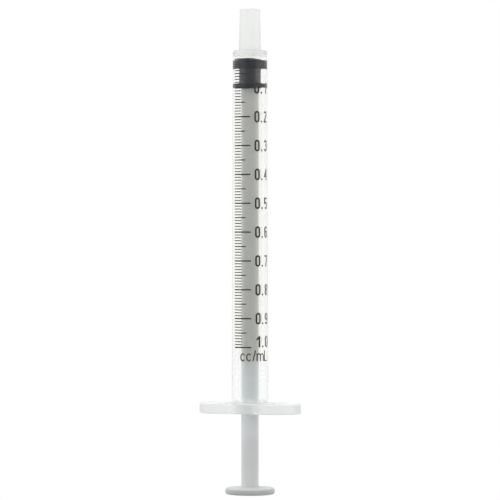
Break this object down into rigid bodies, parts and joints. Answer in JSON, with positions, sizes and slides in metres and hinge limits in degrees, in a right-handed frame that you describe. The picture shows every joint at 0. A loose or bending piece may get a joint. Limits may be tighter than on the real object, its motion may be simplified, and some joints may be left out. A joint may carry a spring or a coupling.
{
  "type": "oral syringe",
  "caption": "Small oral dosing syringe: clear graduated barrel with a bare slip tip and oval finger flange, and a round plunger rod that slides a black rubber stopper.",
  "frame": {"origin": "centre of the finger flange's rear face, on the bore axis", "axes": "+Z along the bore axis towards the tip, X along the long way of the finger flange, -Y out of the printed side of the barrel"},
  "size_m": [0.021, 0.0098, 0.097],
  "materials": {
    "barrel_plastic": "gloss, clear polypropylene",
    "rod_plastic": "satin, translucent natural polypropylene",
    "stopper_rubber": "matte, siliconed rubber",
    "print_ink": "matte printing ink"
  },
  "bodies": {
    "barrel": {"barrel": "barrel_plastic", "scale_lines_long": "print_ink", "scale_lines_middle": "print_ink", "scale_lines_short": "print_ink", "scale_numerals": "print_ink", "unit_label": "print_ink"},
    "stopper": {"stopper": "stopper_rubber"},
    "plunger_rod": {"plunger_rod": "rod_plastic"}
  },
  "joints": [
    {"name": "plunger_slide", "type": "slide", "parent": "barrel", "child": "stopper", "axis": [0, 0, -1], "range_m": [0, 0.0575]},
    {"name": "rod_spin", "type": "hinge", "parent": "stopper", "child": "plunger_rod", "pos_m": [0, 0, 0.0672], "axis": [0, 0, 1], "continuous": true}
  ]
}
